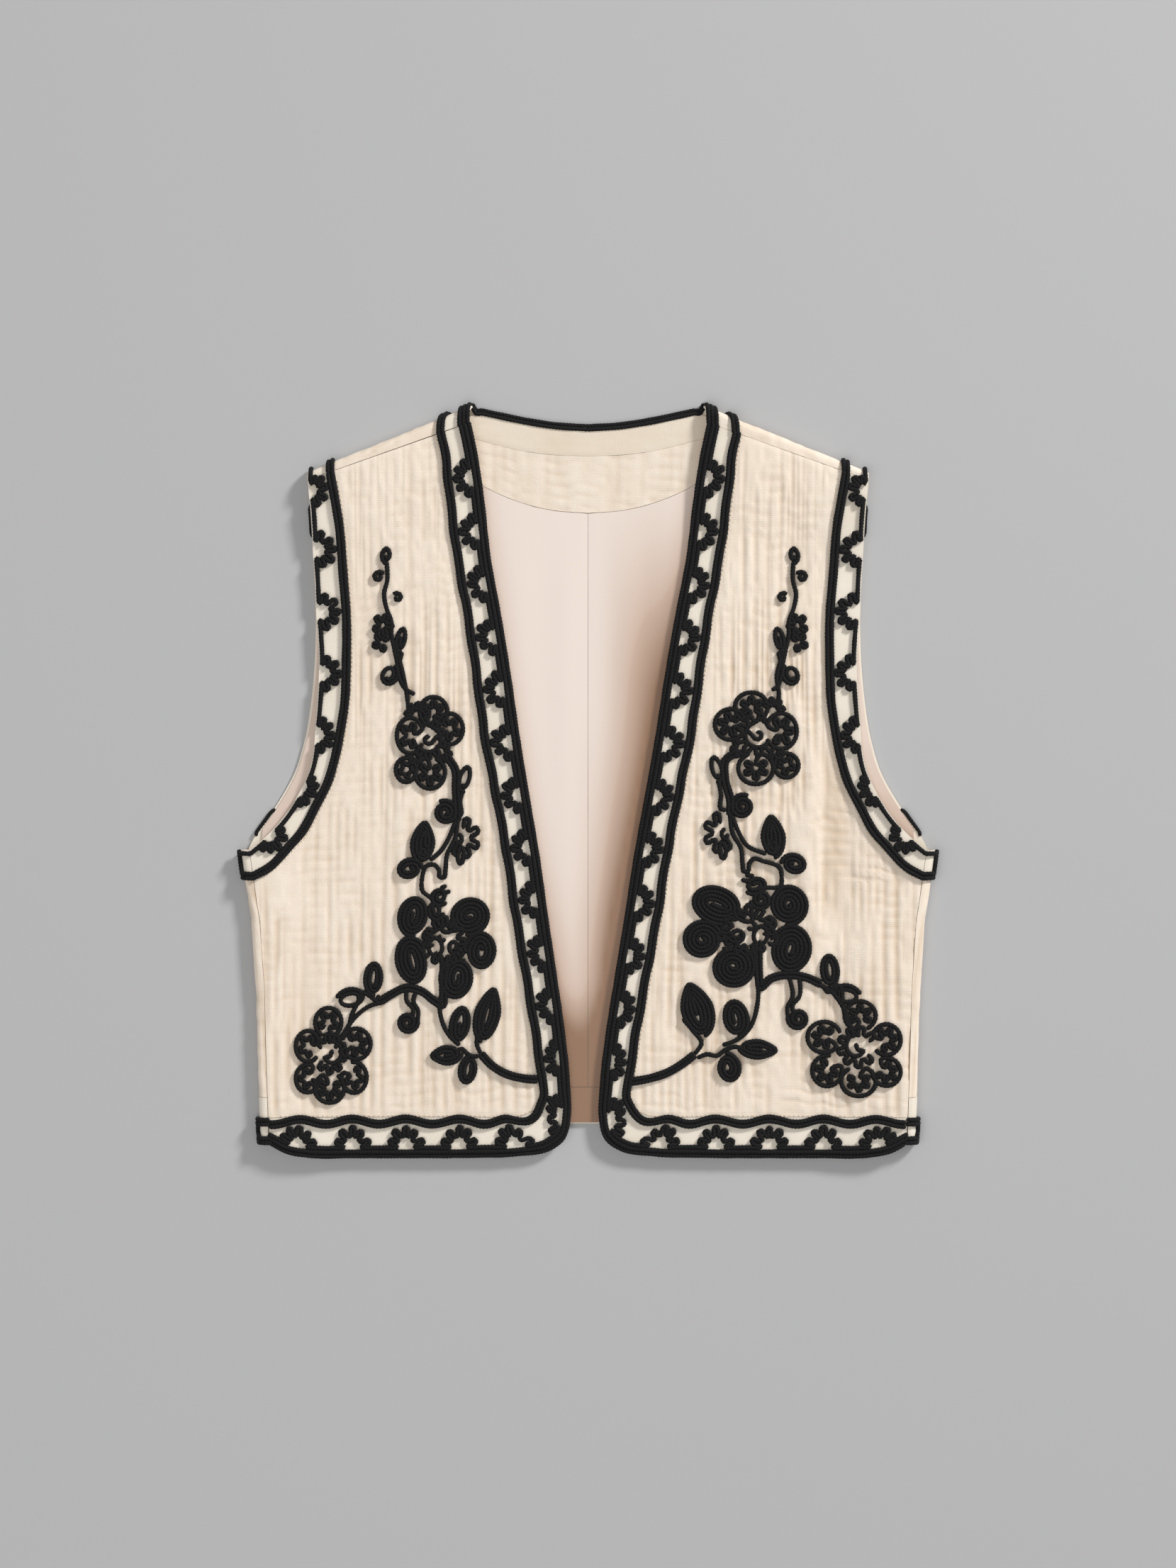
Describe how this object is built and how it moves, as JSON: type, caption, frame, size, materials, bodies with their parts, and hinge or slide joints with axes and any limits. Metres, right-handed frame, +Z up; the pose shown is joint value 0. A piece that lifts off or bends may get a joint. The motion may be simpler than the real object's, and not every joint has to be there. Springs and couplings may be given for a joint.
{
  "type": "cropped waistcoat",
  "caption": "Cropped sleeveless waistcoat laid flat, open front, crinkled cream cloth, smooth bands and flower sprays in sewn black cord, satin lining.",
  "frame": {"origin": "centre of the bounding box, on the surface that the garment lies on", "axes": "+Z up from the surface, +Y from hem to neck, +X towards the wearer's left"},
  "size_m": [0.4656, 0.5044, 0.012],
  "materials": {
    "gauze": "crinkled double gauze, matte",
    "smooth_cloth": "smooth plain weave, matte",
    "satin": "satin, soft sheen",
    "cord": "twisted cotton cord, matte"
  },
  "bodies": {
    "root": {"arch_cord_left": "cord", "arch_cord_right": "cord", "armhole_arch_cord_left": "cord", "armhole_arch_cord_right": "cord", "armhole_band_left": "smooth_cloth", "armhole_band_right": "smooth_cloth", "armhole_rail_left": "cord", "armhole_rail_right": "cord", "back_armhole_band_left": "smooth_cloth", "back_armhole_band_right": "smooth_cloth", "back_armhole_cord_left": "cord", "back_armhole_cord_right": "cord", "back_hem_band": "smooth_cloth", "back_neck_band": "smooth_cloth", "back_neck_cord": "cord", "back_panel": "gauze", "curl_left": "cord", "curl_right": "cord", "edge_cord_left": "cord", "edge_cord_right": "cord", "front_band_left": "smooth_cloth", "front_band_right": "smooth_cloth", "front_panel_left": "gauze", "front_panel_right": "gauze", "hem_facing": "satin", "inner_neck_strip": "smooth_cloth", "inner_rail_left": "cord", "inner_rail_right": "cord", "large_flower_left": "cord", "large_flower_right": "cord", "lining_left": "satin", "lining_right": "satin", "lower_leaves_left": "cord", "lower_leaves_right": "cord", "main_stem_left": "cord", "main_stem_right": "cord", "middle_bud_left": "cord", "middle_bud_right": "cord", "middle_leaf_left": "cord", "middle_leaf_right": "cord", "middle_stem_left": "cord", "middle_stem_right": "cord", "neck_facing": "gauze", "side_branch_left": "cord", "side_branch_right": "cord", "side_buds_left": "cord", "side_buds_right": "cord", "side_flower_left": "cord", "side_flower_right": "cord", "sprig_bud_left": "cord", "sprig_bud_right": "cord", "tall_leaf_left": "cord", "tall_leaf_right": "cord", "top_sprig_left": "cord", "top_sprig_right": "cord", "upper_flower_left": "cord", "upper_flower_right": "cord", "upper_leaf_left": "cord", "upper_leaf_right": "cord"}
  },
  "joints": []
}
